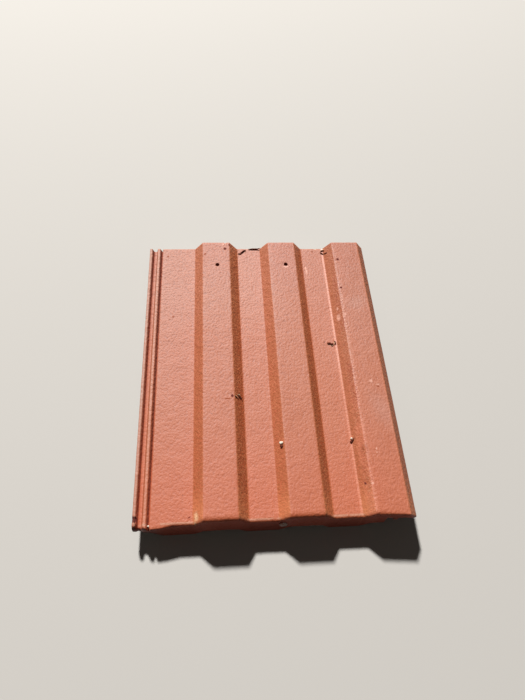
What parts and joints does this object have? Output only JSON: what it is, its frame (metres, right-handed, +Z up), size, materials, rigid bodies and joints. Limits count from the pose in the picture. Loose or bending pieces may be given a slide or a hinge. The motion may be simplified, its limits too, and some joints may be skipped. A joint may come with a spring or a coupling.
{
  "type": "concrete roof tile",
  "caption": "Interlocking concrete roof tile with flat-topped ribs, a grooved side lock, nail holes and a rounded nose, coated terracotta red",
  "frame": {"origin": "on the floor under the middle of the tile, which lies flat on its nibs and its nose", "axes": "+X across the tile towards the overlock, +Y up the roof slope towards the head, +Z up"},
  "size_m": [0.3334, 0.42, 0.047],
  "materials": {
    "coated_concrete": "extruded concrete with a weathered terracotta-red coat, fine grain and a slight sheen"
  },
  "bodies": {
    "root": {"roof_tile": "coated_concrete"}
  },
  "joints": []
}
